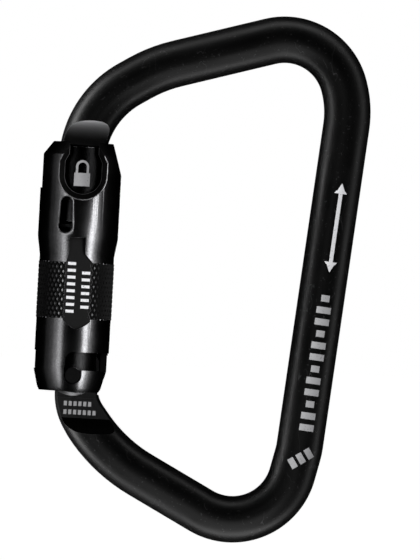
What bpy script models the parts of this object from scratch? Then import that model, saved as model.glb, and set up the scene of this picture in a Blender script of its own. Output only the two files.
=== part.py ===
"""Locking carabiner with a pull-down, quarter-turn sleeve. Units are metres and +Z is up.

The gate's axis is parallel to Z, the spine is on the +X side and the front faces -Y. The
drawing below measures x from the gate's axis and z from the locked sleeve's lower edge.
The root empty moves the drawing so that the world origin is the anchor saddle, which is
the highest point of the bow's inner side.
"""
import math

import bmesh
import bpy
from mathutils import Matrix, Vector

ROOT_NAME = "carabiner_origin"
MM = 0.001
GAP = 0.3 * MM  # kept between pieces that touch on the real object
FAR = 30 * MM  # how far a cutter reaches past what it cuts
SHARP_ANGLE = math.radians(35)
BEVEL_ANGLE = math.radians(40)

# Frame: a bent round bar
BAR_R = 6.0 * MM
BAR_SIDES_RESOLUTION = 8
BEND_STEP = math.radians(7.5)
LEAST_RING_SPACING = 1.0 * MM
HINGE_END_SCALE = 0.91  # the bar is a little slimmer where it enters the sleeve
HINGE_TAPER = 12 * MM
# Corners of the bar's centreline from the nose to the hinge: x, z and bend radius, in mm
BAR_CORNERS_MM = (
    (0.0, 54.5, 0.0),
    (0.0, 62.0, 20.0),
    (2.4, 74.4, 24.0),
    (18.2, 84.3, 37.0),
    (61.7, 97.2, 15.8),
    (68.0, 77.1, 26.0),
    (59.9, -11.9, 17.4),
    (53.9, -38.6, 16.0),
    (9.7, -15.5, 41.0),
    (1.95, -3.5, 12.3),
    (1.6, 3.0, 0.0),
)
SADDLE_CORNER = 4  # the corner whose bend holds the anchor

# Hinge
PIVOT_X = 0.7 * MM
PIVOT_Z = 4.2 * MM
RIVET_R = 2.05 * MM
RIVET_HALF = 7.4 * MM
PIN_CLEARANCE = 0.15 * MM
SWING = math.radians(27)

# Milled ends of the bar
FLAT_HALF = 2.8 * MM
TANG_HALF = 2.7 * MM
TANG_TOP_OF_FLAT = -1.6 * MM
HINGE_FLAT_END = -6.8 * MM
HINGE_RUNOUT_R = 4.0 * MM
NOSE_FLAT_END = 65.1 * MM
NOSE_RUNOUT_R = 5.05 * MM
TANG_REACH = 7.2 * MM
TANG_TRIM_LOW = -0.6 * MM
TANG_TRIM_HIGH = 14.2 * MM
CAM_R = 6.1 * MM
CAM_RISE_PER_RADIAN = 2.0 * MM  # the plunger's travel per radian of swing
CAM_OVERRUN = math.radians(8)

# Gate
GATE_R = 7.15 * MM
WAIST_R = 5.4 * MM
WAIST_LOW = 14.0 * MM
WAIST_HIGH = 43.2 * MM
GATE_TOP = 63.4 * MM
GATE_CHAMFER = 0.5 * MM
EAR_R = 5.2 * MM
EAR_SHOULDER_Z = 9.5 * MM
FORK_HALF = 3.0 * MM
FORK_TOP = 12.3 * MM
NOSE_SLOT_HALF = 3.1 * MM
NOSE_SLOT_FLOOR = 53.3 * MM
LATCH_X = 0.9 * MM
LATCH_Z = 58.6 * MM
LATCH_R = 1.5 * MM
LATCH_HALF = 6.5 * MM
LATCH_HOLE_FRONT = 6.8 * MM  # the latch pin goes in from the back
PIN_CHAMFER = 0.3 * MM
NOTCH_R = 1.9 * MM
NOTCH_FLOOR = 56.5 * MM
TOE_X = 3.5 * MM
TOE_CHAMFER = 0.5 * MM

# Plunger and its spring, in a bore on the gate's axis
PLUNGER_R = 2.0 * MM
PLUNGER_BORE_R = 2.3 * MM
PLUNGER_TIP = 10.6 * MM
PLUNGER_SHOULDER = 19.0 * MM
SPIGOT_R = 1.0 * MM
SPIGOT_TOP = 21.0 * MM
PLUNGER_BORE_TOP = 36.0 * MM
GATE_SPRING_R = 1.6 * MM
GATE_SPRING_WIRE_R = 0.3 * MM
GATE_SPRING_TURNS = 9

# Sleeve spring and the washer above it
SLEEVE_SPRING_R = 6.4 * MM
SLEEVE_SPRING_WIRE_R = 0.55 * MM
SLEEVE_SPRING_TURNS = 7
WASHER_INNER_R = 5.7 * MM
WASHER_OUTER_R = 7.2 * MM
WASHER_LOW = 42.2 * MM
WASHER_HIGH = 42.9 * MM

# Sleeve
SLEEVE_LENGTH = 64.1 * MM
SLEEVE_LOW_R = 9.6 * MM
SLEEVE_HIGH_R = 10.35 * MM
SLEEVE_RIM_R = 8.4 * MM
SLEEVE_TOP_R = 8.1 * MM
SLEEVE_BORE_R = 7.5 * MM
SLEEVE_GROOVE_R = 8.05 * MM
GROOVE_LOW = 1.5 * MM
GROOVE_HIGH = 10.2 * MM
RIM_CHAMFER_Z = 5.4 * MM
STEP_LOW_Z = 34.9 * MM
STEP_HIGH_Z = 39.6 * MM
TOP_CHAMFER_Z = 60.8 * MM
SLEEVE_STEPS = 48
TOP_FACET_Z = 55.9 * MM
TOP_FACET_DEPTH = 2.45 * MM
SCOOP_X = 0.6 * MM
SCOOP_FLOOR = 50.8 * MM
SCOOP_HALF = 4.7 * MM
SCOOP_NECK_HALF = 3.7 * MM
SCOOP_NECK_Z = 61.0 * MM
KEYHOLE_X = -3.2 * MM
KEYHOLE_LOW = 40.7 * MM
KEYHOLE_HIGH = 49.9 * MM
KEYHOLE_R = 1.45 * MM
KEYHOLE_BULB_R = 1.75 * MM
TRACK_LOW = 5.4 * MM
TRACK_HIGH = 9.8 * MM
TRACK_START_X = -1.4 * MM
TRACK_END_Y = 2.4 * MM
NOTCH_HALF = 2.15 * MM
TANG_SLOT_HALF = 3.05 * MM
TANG_SLOT_TOP = 9.6 * MM
RIM_RELIEF_TOP = 3.6 * MM
NOSE_WAY_FLOOR = 52.0 * MM

BLACK_STEEL = (0.012, 0.012, 0.013, 1)
CAST_STEEL = (0.035, 0.035, 0.037, 1)
ANODISED_BLACK = (0.02, 0.02, 0.022, 1)
BRIGHT_STEEL = (0.45, 0.45, 0.46, 1)
SPRING_STEEL = (0.30, 0.30, 0.31, 1)


def corner_points(corners):
    """The points of a path whose corners are rounded: every corner is x, z and radius."""
    points = [Vector(corners[0][:2])]
    for before, here, after in zip(corners, corners[1:], corners[2:]):
        corner = Vector(here[:2])
        back = (Vector(before[:2]) - corner).normalized()
        onward = (Vector(after[:2]) - corner).normalized()
        half = back.angle(onward) / 2
        centre = corner + (back + onward).normalized() * here[2] / math.sin(half)
        tangent = here[2] / math.tan(half)
        start = corner + back * tangent - centre
        turn = start.angle_signed(corner + onward * tangent - centre)
        steps = max(2, round(abs(turn) / BEND_STEP))
        points += [centre + Matrix.Rotation(-turn * k / steps, 2) @ start for k in range(steps + 1)]
    return spaced(points) + [Vector(corners[-1][:2])]


def spaced(points):
    """The points without any that crowd the one before, where rings would cross."""
    kept = points[:1]
    for point in points[1:]:
        if (point - kept[-1]).length > LEAST_RING_SPACING:
            kept.append(point)
    return kept


def bend_centre(corners, n):
    """The centre of the bend at corner n."""
    corner = Vector(corners[n][:2])
    back = (Vector(corners[n - 1][:2]) - corner).normalized()
    onward = (Vector(corners[n + 1][:2]) - corner).normalized()
    return corner + (back + onward).normalized() * corners[n][2] / math.sin(back.angle(onward) / 2)


BAR_CORNERS = [tuple(value * MM for value in corner) for corner in BAR_CORNERS_MM]
SADDLE_BEND = bend_centre(BAR_CORNERS, SADDLE_CORNER)
SADDLE = Vector((SADDLE_BEND.x, 0, SADDLE_BEND.y + BAR_CORNERS[SADDLE_CORNER][2] - BAR_R))


def arc(centre_x, centre_z, radius, first, last, steps):
    """Points on an arc in the XZ plane, between two angles in degrees from +X."""
    angles = [math.radians(first + (last - first) * k / steps) for k in range(steps + 1)]
    return [(centre_x + radius * math.cos(a), centre_z + radius * math.sin(a)) for a in angles]


def clear_scene():
    for old in list(bpy.data.objects):
        bpy.data.objects.remove(old)


def new_collection(name):
    collection = bpy.data.collections.new(name)
    bpy.context.scene.collection.children.link(collection)
    return collection


def new_object(name, data, collection):
    """An object in the drawing's frame, under the root empty."""
    made = bpy.data.objects.new(name, data)
    collection.objects.link(made)
    if collection is CUTTERS:
        made.hide_render = True
        made.display_type = "WIRE"
    if name != ROOT_NAME:
        made.parent = bpy.data.objects[ROOT_NAME]
    return made


def mesh_object(name, shape, collection):
    """An object from a bmesh, smooth except at its sharp edges."""
    mesh = bpy.data.meshes.new(name)
    shape.to_mesh(mesh)
    shape.free()
    made = new_object(name, mesh, collection)
    smooth(made)
    return made


def smooth(made):
    made.data.shade_smooth()
    made.data.set_sharp_from_angle(angle=SHARP_ANGLE)


def bevel(made, width):
    """Rounds the edges that turn by more than the bevel angle."""
    modifier = made.modifiers.new("bevel", "BEVEL")
    modifier.width = width
    modifier.segments = 2
    modifier.limit_method = "ANGLE"
    modifier.angle_limit = BEVEL_ANGLE


def boolean(target, other, operation):
    modifier = target.modifiers.new(other.name, "BOOLEAN")
    modifier.operation = operation
    modifier.solver = "EXACT"
    modifier.object = other


def box(name, low, high):
    """A cutting box between two corners."""
    shape = bmesh.new()
    bmesh.ops.create_cube(shape, size=1)
    size = Vector(high) - Vector(low)
    middle = (Vector(high) + Vector(low)) / 2
    bmesh.ops.scale(shape, verts=shape.verts, vec=size)
    bmesh.ops.translate(shape, verts=shape.verts, vec=middle)
    return mesh_object(name, shape, CUTTERS)


def cylinder(name, centre, direction, radius, half_length, collection, sides=32):
    """A cylinder about a centre, along a direction."""
    shape = bmesh.new()
    bmesh.ops.create_cone(
        shape, cap_ends=True, segments=sides, radius1=radius, radius2=radius, depth=2 * half_length
    )
    made = mesh_object(name, shape, collection)
    made.rotation_euler = Vector(direction).to_track_quat("Z", "Y").to_euler()
    made.location = centre
    return made


def curve_object(name, points, collection, radius, resolution, scales=None):
    """A round bar or wire along a list of points."""
    curve = bpy.data.curves.new(name, "CURVE")
    curve.dimensions = "3D"
    curve.bevel_depth = radius
    curve.bevel_resolution = resolution
    curve.use_fill_caps = True
    spline = curve.splines.new("POLY")
    spline.points.add(len(points) - 1)
    for n, point in enumerate(points):
        spline.points[n].co = (*point, 1)
        spline.points[n].radius = scales[n] if scales else 1
    return new_object(name, curve, collection)


def as_mesh(curved):
    """Replaces a curve object with a closed mesh object of the same name."""
    bpy.context.view_layer.update()
    seen = curved.evaluated_get(bpy.context.evaluated_depsgraph_get())
    mesh = bpy.data.meshes.new_from_object(seen)
    shape = bmesh.new()
    shape.from_mesh(mesh)
    bmesh.ops.remove_doubles(shape, verts=shape.verts, dist=0.001 * MM)
    bmesh.ops.recalc_face_normals(shape, faces=shape.faces)
    shape.to_mesh(mesh)
    shape.free()
    name = curved.name
    collection = curved.users_collection[0]
    placed = curved.matrix_local.copy()
    bpy.data.objects.remove(curved)
    made = new_object(name, mesh, collection)
    made.matrix_local = placed
    smooth(made)
    return made


def prism(name, outline, middle_y, half, collection=None):
    """A flat outline in the XZ plane, thickened along Y."""
    curve = bpy.data.curves.new(name, "CURVE")
    curve.dimensions = "2D"
    curve.fill_mode = "BOTH"
    curve.extrude = half
    spline = curve.splines.new("POLY")
    spline.points.add(len(outline) - 1)
    for n, (x, z) in enumerate(outline):
        spline.points[n].co = (x, z, 0, 1)
    spline.use_cyclic_u = True
    made = new_object(name, curve, collection or CUTTERS)
    made.rotation_euler = (math.radians(90), 0, 0)
    made.location = (0, middle_y, 0)
    return as_mesh(made)


def turned(name, profile, collection, steps, closed=False):
    """A profile of (radius, z) points turned about the gate's axis."""
    shape = bmesh.new()
    points = [shape.verts.new((radius, 0, z)) for radius, z in profile]
    for first, second in zip(points, points[1:]):
        shape.edges.new((first, second))
    if closed:
        shape.edges.new((points[-1], points[0]))
    made = mesh_object(name, shape, collection)
    screw = made.modifiers.new("turn", "SCREW")
    screw.axis = "Z"
    screw.angle = math.tau
    screw.steps = steps
    screw.render_steps = steps
    screw.use_merge_vertices = True
    screw.merge_threshold = 0.001 * MM
    screw.use_smooth_shade = True
    return made


def helix(radius, low, high, turns, first_angle=0.0, steps=14):
    """Points along a coil about the gate's axis."""
    count = turns * steps
    points = []
    for n in range(count + 1):
        angle = first_angle + math.tau * turns * n / count
        height = low + (high - low) * n / count
        points.append((radius * math.cos(angle), radius * math.sin(angle), height))
    return points


def finish_metal(made, name, colour, roughness, metallic):
    """Gives an object its own metal material."""
    metal = bpy.data.materials.new(name)
    metal.use_nodes = True
    shader = metal.node_tree.nodes["Principled BSDF"]
    shader.inputs["Base Color"].default_value = colour
    shader.inputs["Roughness"].default_value = roughness
    shader.inputs["Metallic"].default_value = metallic
    metal.diffuse_color = colour
    made.data.materials.clear()
    made.data.materials.append(metal)


# Frame


def bar():
    """The bent bar, slimmer towards the hinge end."""
    flat = corner_points(BAR_CORNERS)
    hinge_end = flat[-1]
    scales = []
    for point in flat:
        near = min(1.0, (point - hinge_end).length / HINGE_TAPER)
        scales.append(HINGE_END_SCALE + (1 - HINGE_END_SCALE) * near)
    points = [(point.x, 0, point.y) for point in flat]
    return as_mesh(curve_object("frame", points, PARTS, BAR_R, BAR_SIDES_RESOLUTION, scales))


def cam_outline():
    """The tang's round end about the rivet, with the cam that lifts the plunger."""
    contact = math.atan2(PIVOT_X, CAM_R)
    points = []
    for degrees in range(-100, 101, 5):
        angle = math.radians(degrees)
        travel = min(max(0.0, angle + contact), SWING + contact + CAM_OVERRUN)
        radius = CAM_R + CAM_RISE_PER_RADIAN * travel
        points.append((PIVOT_X + radius * math.sin(angle), PIVOT_Z + radius * math.cos(angle)))
    return points


def mill_flats(frame):
    """Mills the front and back flats of both ends, with round run-outs."""
    for side, word in ((-1, "front"), (1, "back")):
        for name, low, high, half in (
            ("hinge_flat_", HINGE_FLAT_END, PIVOT_Z + FAR / 2, FLAT_HALF),
            ("tang_flat_", TANG_TOP_OF_FLAT, PIVOT_Z + FAR / 2, TANG_HALF),
            ("nose_flat_", NOSE_SLOT_FLOOR - GATE_R, NOSE_FLAT_END, FLAT_HALF),
        ):
            near, out = sorted((side * half, side * FAR))
            boolean(frame, box(name + word, (-FAR, near, low), (FAR, out, high)), "DIFFERENCE")
        for name, z, radius in (
            ("hinge_runout_", HINGE_FLAT_END, HINGE_RUNOUT_R),
            ("nose_runout_", NOSE_FLAT_END, NOSE_RUNOUT_R),
        ):
            centre = (0, side * (FLAT_HALF + radius), z)
            mill = cylinder(name + word, centre, (1, 0, 0), radius, FAR, CUTTERS, 48)
            boolean(frame, mill, "DIFFERENCE")


def cut_nose(frame):
    """Cuts the notch that hooks the latch pin, and shortens the toe below it."""
    notch = [(FAR, LATCH_Z + NOTCH_R)]
    notch += arc(LATCH_X, LATCH_Z, NOTCH_R, 90, 180, 6)
    notch += [
        (LATCH_X - NOTCH_R, NOTCH_FLOOR),
        (TOE_X - TOE_CHAMFER, NOTCH_FLOOR),
        (TOE_X, NOTCH_FLOOR - TOE_CHAMFER),
        (TOE_X, NOTCH_FLOOR - GATE_R),
        (FAR, NOTCH_FLOOR - GATE_R),
    ]
    boolean(frame, prism("nose_notch", notch, 0, FAR / 2), "DIFFERENCE")


def make_frame():
    frame = bar()
    eye = prism("hinge_eye", cam_outline(), 0, TANG_HALF)
    boolean(frame, eye, "UNION")
    mill_flats(frame)
    ring = [
        (2 * TANG_REACH, TANG_TRIM_HIGH),
        (2 * TANG_REACH, TANG_TRIM_LOW),
        (TANG_REACH, TANG_TRIM_LOW),
        (TANG_REACH, TANG_TRIM_HIGH),
    ]
    boolean(frame, turned("tang_trim", ring, CUTTERS, 48, closed=True), "DIFFERENCE")
    cut_nose(frame)
    drill = (PIVOT_X, 0, PIVOT_Z)
    hole = cylinder("tang_hole", drill, (0, 1, 0), RIVET_R + PIN_CLEARANCE, FAR / 2, CUTTERS)
    boolean(frame, hole, "DIFFERENCE")
    finish_metal(frame, "black_frame_steel", BLACK_STEEL, 0.38, 0.6)
    return frame


# Gate


def ear_outline():
    """The gate's side view: straight above the fork and round about the rivet below."""
    wide = GATE_R + MM
    points = [(-wide, GATE_TOP + MM), (-wide, EAR_SHOULDER_Z)]
    points += arc(PIVOT_X, PIVOT_Z, EAR_R, 170, 370, 20)
    return points + [(wide, EAR_SHOULDER_Z), (wide, GATE_TOP + MM)]


def make_gate_body():
    profile = [
        (0, GATE_TOP),
        (GATE_R - GATE_CHAMFER, GATE_TOP),
        (GATE_R, GATE_TOP - GATE_CHAMFER),
        (GATE_R, WAIST_HIGH + GATE_CHAMFER),
        (GATE_R - GATE_CHAMFER, WAIST_HIGH),
        (WAIST_R, WAIST_HIGH),
        (WAIST_R, WAIST_LOW),
        (GATE_R - GATE_CHAMFER, WAIST_LOW),
        (GATE_R, WAIST_LOW - GATE_CHAMFER),
        (GATE_R, PIVOT_Z - EAR_R - MM),
        (0, PIVOT_Z - EAR_R - MM),
    ]
    gate = turned("gate_body", profile, PARTS, 40)
    boolean(gate, prism("ear_outline", ear_outline(), 0, FAR / 2), "INTERSECT")
    fork = box("fork_slot", (-FAR, -FORK_HALF, -FAR / 2), (FAR, FORK_HALF, FORK_TOP))
    boolean(gate, fork, "DIFFERENCE")
    nose_low = (-FAR, -NOSE_SLOT_HALF, NOSE_SLOT_FLOOR)
    nose_high = (FAR, NOSE_SLOT_HALF, NOSE_SLOT_FLOOR + FAR)
    boolean(gate, box("nose_slot", nose_low, nose_high), "DIFFERENCE")
    for name, x, z, radius, front in (
        ("rivet_hole", PIVOT_X, PIVOT_Z, RIVET_R, FAR),
        ("latch_hole", LATCH_X, LATCH_Z, LATCH_R, LATCH_HOLE_FRONT),
    ):
        half = (FAR + front) / 2
        centre = (x, FAR - half, z)
        hole = cylinder(name, centre, (0, 1, 0), radius + PIN_CLEARANCE, half, CUTTERS)
        boolean(gate, hole, "DIFFERENCE")
    bore_low = FORK_TOP - MM
    bore_half = (PLUNGER_BORE_TOP - bore_low) / 2
    centre = (0, 0, bore_low + bore_half)
    bore = cylinder("plunger_bore", centre, (0, 0, 1), PLUNGER_BORE_R, bore_half, CUTTERS)
    boolean(gate, bore, "DIFFERENCE")
    finish_metal(gate, "dark_cast_gate", CAST_STEEL, 0.32, 0.8)
    return gate


def make_pins():
    rivet = cylinder(
        "hinge_rivet", (PIVOT_X, 0, PIVOT_Z), (0, 1, 0), RIVET_R, RIVET_HALF, PARTS, 28
    )
    bevel(rivet, PIN_CHAMFER)
    finish_metal(rivet, "black_rivet_steel", BLACK_STEEL, 0.3, 0.9)
    latch = cylinder("latch_pin", (LATCH_X, 0, LATCH_Z), (0, 1, 0), LATCH_R, LATCH_HALF, PARTS, 24)
    bevel(latch, PIN_CHAMFER)
    finish_metal(latch, "latch_pin_steel", BRIGHT_STEEL, 0.28, 1.0)
    return rivet, latch


def make_plunger():
    dome = arc(0, PLUNGER_TIP + PLUNGER_R, PLUNGER_R, 0, -90, 6)
    profile = [
        (0, SPIGOT_TOP),
        (SPIGOT_R, SPIGOT_TOP),
        (SPIGOT_R, PLUNGER_SHOULDER),
        (PLUNGER_R, PLUNGER_SHOULDER),
        *dome[:-1],
        (0, PLUNGER_TIP),
    ]
    plunger = turned("gate_plunger", profile, PARTS, 20)
    finish_metal(plunger, "plunger_steel", BRIGHT_STEEL, 0.35, 1.0)
    return plunger


def make_springs():
    seat = GATE_SPRING_WIRE_R + GAP
    low, high = PLUNGER_SHOULDER + seat, PLUNGER_BORE_TOP - seat
    coil = helix(GATE_SPRING_R, low, high, GATE_SPRING_TURNS, steps=10)
    gate_spring = curve_object("gate_spring", coil, PARTS, GATE_SPRING_WIRE_R, 2)
    finish_metal(gate_spring, "gate_spring_steel", SPRING_STEEL, 0.3, 1.0)
    seat = SLEEVE_SPRING_WIRE_R + GAP
    coil = helix(SLEEVE_SPRING_R, WAIST_LOW + seat, WASHER_LOW - seat, SLEEVE_SPRING_TURNS)
    sleeve_spring = curve_object("sleeve_spring", coil, PARTS, SLEEVE_SPRING_WIRE_R, 2)
    finish_metal(sleeve_spring, "sleeve_spring_steel", SPRING_STEEL, 0.3, 1.0)
    return gate_spring, sleeve_spring


# Sleeve


def make_washer():
    profile = [
        (WASHER_OUTER_R, WASHER_HIGH),
        (WASHER_OUTER_R, WASHER_LOW),
        (WASHER_INNER_R, WASHER_LOW),
        (WASHER_INNER_R, WASHER_HIGH),
    ]
    washer = turned("thrust_washer", profile, PARTS, 36, closed=True)
    finish_metal(washer, "washer_steel", BRIGHT_STEEL, 0.4, 1.0)
    return washer


def sleeve_profile():
    """Down the outer side, then up the bore with its groove for the rivet's ends."""
    return [
        (SLEEVE_TOP_R, SLEEVE_LENGTH),
        (SLEEVE_HIGH_R, TOP_CHAMFER_Z),
        (SLEEVE_HIGH_R, STEP_HIGH_Z),
        (SLEEVE_LOW_R, STEP_LOW_Z),
        (SLEEVE_LOW_R, RIM_CHAMFER_Z),
        (SLEEVE_RIM_R, 0),
        (SLEEVE_BORE_R, 0),
        (SLEEVE_BORE_R, GROOVE_LOW),
        (SLEEVE_GROOVE_R, GROOVE_LOW),
        (SLEEVE_GROOVE_R, GROOVE_HIGH),
        (SLEEVE_BORE_R, GROOVE_HIGH),
        (SLEEVE_BORE_R, SLEEVE_LENGTH),
    ]


def scoop_outline():
    """The open-topped front window: a round floor, and shoulders that lean in to a neck."""
    low = arc(SCOOP_X, SCOOP_FLOOR + SCOOP_HALF, SCOOP_HALF, 180, 360, 12)
    right = [
        (SCOOP_HALF, SCOOP_NECK_Z - 2 * MM),
        (SCOOP_NECK_HALF, SCOOP_NECK_Z),
        (SCOOP_NECK_HALF, SLEEVE_LENGTH + MM),
    ]
    left = [(SCOOP_X - x, z) for x, z in reversed(right)]
    return low + [(SCOOP_X + x, z) for x, z in right] + left


def keyhole_outline():
    low = arc(KEYHOLE_X, KEYHOLE_LOW + KEYHOLE_BULB_R, KEYHOLE_BULB_R, 160, 380, 10)
    high = arc(KEYHOLE_X, KEYHOLE_HIGH - KEYHOLE_R, KEYHOLE_R, 0, 180, 8)
    return low + high


def cut_tracks(sleeve):
    """Cuts the two rivet tracks, which are half a turn apart, and the front rest notch."""
    for name, side in (("front_track", 1), ("back_track", -1)):
        x = sorted((side * TRACK_START_X, side * FAR))
        y = sorted((-side * FAR, side * TRACK_END_Y))
        boolean(sleeve, box(name, (x[0], y[0], TRACK_LOW), (x[1], y[1], TRACK_HIGH)), "DIFFERENCE")
    notch = arc(PIVOT_X, PIVOT_Z, NOTCH_HALF, 180, 360, 10)
    notch += [(PIVOT_X + NOTCH_HALF, TRACK_LOW + MM), (PIVOT_X - NOTCH_HALF, TRACK_LOW + MM)]
    boolean(sleeve, prism("rest_notch", notch, -FAR / 2, FAR / 2), "DIFFERENCE")


def cut_ways(sleeve):
    """Cuts the ways that the frame's tang and nose pass through as the gate swings."""
    half = TANG_SLOT_HALF
    low = -MM
    for name, corner, opposite in (
        ("tang_way_locked", (0, -half, low), (FAR, half, TANG_SLOT_TOP)),
        ("tang_way_unlocked", (-half, 0, low), (half, FAR, TANG_SLOT_TOP)),
        ("rim_relief", (-half, -half, low), (FAR, FAR, RIM_RELIEF_TOP)),
        ("nose_way", (-FAR, -half, NOSE_WAY_FLOOR), (0, half, SLEEVE_LENGTH + MM)),
    ):
        boolean(sleeve, box(name, corner, opposite), "DIFFERENCE")


def cut_top_facet(sleeve):
    """Planes the sleeve's top corner on the spine side."""
    rise = SLEEVE_LENGTH - TOP_FACET_Z
    facet = [
        (SLEEVE_HIGH_R + TOP_FACET_DEPTH, TOP_FACET_Z - rise),
        (SLEEVE_HIGH_R + FAR, TOP_FACET_Z - rise),
        (SLEEVE_HIGH_R + FAR, TOP_FACET_Z + 2 * rise),
        (SLEEVE_HIGH_R - 2 * TOP_FACET_DEPTH, TOP_FACET_Z + 2 * rise),
    ]
    boolean(sleeve, prism("top_facet", facet, 0, FAR / 2), "DIFFERENCE")


def make_sleeve():
    sleeve = turned("lock_sleeve", sleeve_profile(), PARTS, SLEEVE_STEPS, closed=True)
    cut_top_facet(sleeve)
    boolean(sleeve, prism("scoop", scoop_outline(), -FAR / 2, FAR / 2), "DIFFERENCE")
    boolean(sleeve, prism("keyhole", keyhole_outline(), -FAR / 2, FAR / 2), "DIFFERENCE")
    cut_tracks(sleeve)
    cut_ways(sleeve)
    finish_metal(sleeve, "black_anodised_sleeve", ANODISED_BLACK, 0.3, 0.9)
    return sleeve


def pivot_empty(name, place, parent):
    """An empty on a joint's axis, at a place in the drawing."""
    empty = new_object(name, None, PARTS)
    empty.location = place
    bpy.context.view_layer.update()
    keep_place(empty, parent)
    return empty


def keep_place(child, parent):
    """Gives a piece a parent without moving it."""
    bpy.context.view_layer.update()
    world = child.matrix_world.copy()
    child.parent = parent
    child.matrix_parent_inverse = parent.matrix_world.inverted()
    child.matrix_world = world


def build():
    root = new_object(ROOT_NAME, None, PARTS)
    root.location = -SADDLE
    make_frame()
    gate_pieces = [make_gate_body(), *make_pins(), *make_springs()]
    plunger = make_plunger()
    washer = make_washer()
    sleeve = make_sleeve()
    gate_pivot = pivot_empty("gate_pivot", (PIVOT_X, 0, PIVOT_Z), root)
    sleeve_axis = pivot_empty("sleeve_axis", (0, 0, 0), gate_pivot)
    for piece in gate_pieces:
        keep_place(piece, gate_pivot)
    for piece in (plunger, washer, sleeve):
        keep_place(piece, sleeve_axis)


clear_scene()
PARTS = new_collection("locking_carabiner")
CUTTERS = new_collection("cutters")
build()
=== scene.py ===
"""Looks of the locking carabiner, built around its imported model. Metres, +Z up.

Every piece is drawn in the gate's own frame: x and y from the gate's axis, z from the locked
sleeve's lower edge. The pieces stand at GATE_ORIGIN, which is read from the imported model.
The front faces -Y and the spine is on the +X side.
"""

from math import atan2, cos, pi, radians, sin, sqrt, tan, tau

import bmesh
import bpy
from mathutils import Matrix, Vector


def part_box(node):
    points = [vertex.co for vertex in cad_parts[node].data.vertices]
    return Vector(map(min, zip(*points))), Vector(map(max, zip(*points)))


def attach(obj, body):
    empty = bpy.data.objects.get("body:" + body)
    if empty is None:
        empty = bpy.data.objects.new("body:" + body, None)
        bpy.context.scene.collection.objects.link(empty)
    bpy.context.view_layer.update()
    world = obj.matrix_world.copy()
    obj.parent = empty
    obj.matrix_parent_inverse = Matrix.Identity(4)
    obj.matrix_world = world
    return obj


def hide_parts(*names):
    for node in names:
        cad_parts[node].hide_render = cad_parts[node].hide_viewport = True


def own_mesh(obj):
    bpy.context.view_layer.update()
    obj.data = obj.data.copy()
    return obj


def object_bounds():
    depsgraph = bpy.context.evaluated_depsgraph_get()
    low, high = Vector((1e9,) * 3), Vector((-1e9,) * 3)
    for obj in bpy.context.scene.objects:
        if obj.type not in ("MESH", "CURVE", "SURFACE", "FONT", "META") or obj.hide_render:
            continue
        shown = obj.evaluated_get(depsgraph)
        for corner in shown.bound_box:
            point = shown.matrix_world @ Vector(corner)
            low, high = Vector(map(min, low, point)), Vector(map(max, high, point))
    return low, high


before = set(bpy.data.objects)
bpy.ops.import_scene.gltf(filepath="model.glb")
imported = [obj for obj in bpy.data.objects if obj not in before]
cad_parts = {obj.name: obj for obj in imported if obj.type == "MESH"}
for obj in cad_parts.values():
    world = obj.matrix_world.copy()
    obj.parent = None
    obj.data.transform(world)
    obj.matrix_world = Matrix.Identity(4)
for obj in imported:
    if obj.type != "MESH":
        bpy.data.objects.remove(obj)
CAD_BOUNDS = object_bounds()

MM = 0.001
FAR = 30 * MM  # how far a cutter reaches past what it cuts
EDGE = 0.12 * MM  # how far a broken edge is cut back
HOLE_SIDES = 48

MIDDLE = (CAD_BOUNDS[0] + CAD_BOUNDS[1]) / 2
WASHER_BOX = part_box("thrust_washer")
SLEEVE_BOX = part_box("lock_sleeve")
GATE_ORIGIN = Vector(((WASHER_BOX[0].x + WASHER_BOX[1].x) / 2, 0, SLEEVE_BOX[0].z))

# Frame
BAR_R = 6.0 * MM
BAR_SIDES = 56
BEND_STEP = radians(3)
HINGE_END_SCALE = 0.91
HINGE_TAPER = 12 * MM
MIN_STEP = 0.05 * MM  # nearer points on the path are skipped
BAR_CORNERS_MM = (  # x, z and the bend's radius
    (0.0, 54.5, 0.0),
    (0.0, 62.0, 20.0),
    (2.4, 74.4, 24.0),
    (18.2, 84.3, 37.0),
    (61.7, 97.2, 15.8),
    (68.0, 77.1, 26.0),
    (59.9, -11.9, 17.4),
    (53.9, -38.6, 16.0),
    (9.7, -15.5, 41.0),
    (1.95, -3.5, 12.3),
    (1.6, 3.0, 0.0),
)
SPINE_CORNER = 5  # the corner where the spine's long straight begins
PIVOT_X = 0.7 * MM
PIVOT_Z = 4.2 * MM
FLAT_HALF = 2.8 * MM
TANG_HALF = 2.7 * MM
TANG_TOP_OF_FLAT = -1.6 * MM
HINGE_FLAT_END = -6.8 * MM
HINGE_RUNOUT_R = 4.0 * MM
RUNOUT_SIDES = 120
NOSE_FLAT_END = 65.1 * MM
NOSE_RUNOUT_R = 5.05 * MM
TANG_REACH = 7.2 * MM
TANG_TRIM_LOW = -0.6 * MM
TANG_TRIM_HIGH = 14.2 * MM
CAM_R = 6.1 * MM
CAM_RISE_PER_RADIAN = 2.0 * MM
CAM_SPAN = radians(42)

# Gate
GATE_SIDES = 96
GATE_R = 7.15 * MM
WAIST_R = 5.4 * MM
WAIST_LOW = 14.0 * MM
WAIST_HIGH = 43.2 * MM
GATE_TOP = 63.4 * MM
GATE_CHAMFER = 0.5 * MM
EAR_Z = 5.95 * MM
EAR_R = 7.0 * MM
EAR_BEVEL_Y = 6.3 * MM
EAR_BEVEL = 1.3 * MM
EAR_SHOULDER_Z = 9.5 * MM
FORK_HALF = 3.0 * MM
FORK_TOP = 12.3 * MM
NOSE_SLOT_HALF = 3.1 * MM
NOSE_SLOT_FLOOR = 53.3 * MM
LATCH_X = 0.9 * MM
LATCH_Z = 58.6 * MM
LATCH_R = 1.5 * MM
LATCH_HOLE_FRONT = 6.6 * MM  # the latch pin's hole is blind at the front
NOTCH_R = 1.9 * MM
NOTCH_FLOOR = 56.5 * MM
TOE_X = 3.5 * MM
TOE_CHAMFER = 0.5 * MM
PIN_CLEARANCE = 0.15 * MM
PLUNGER_BORE_R = 2.3 * MM
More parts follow.
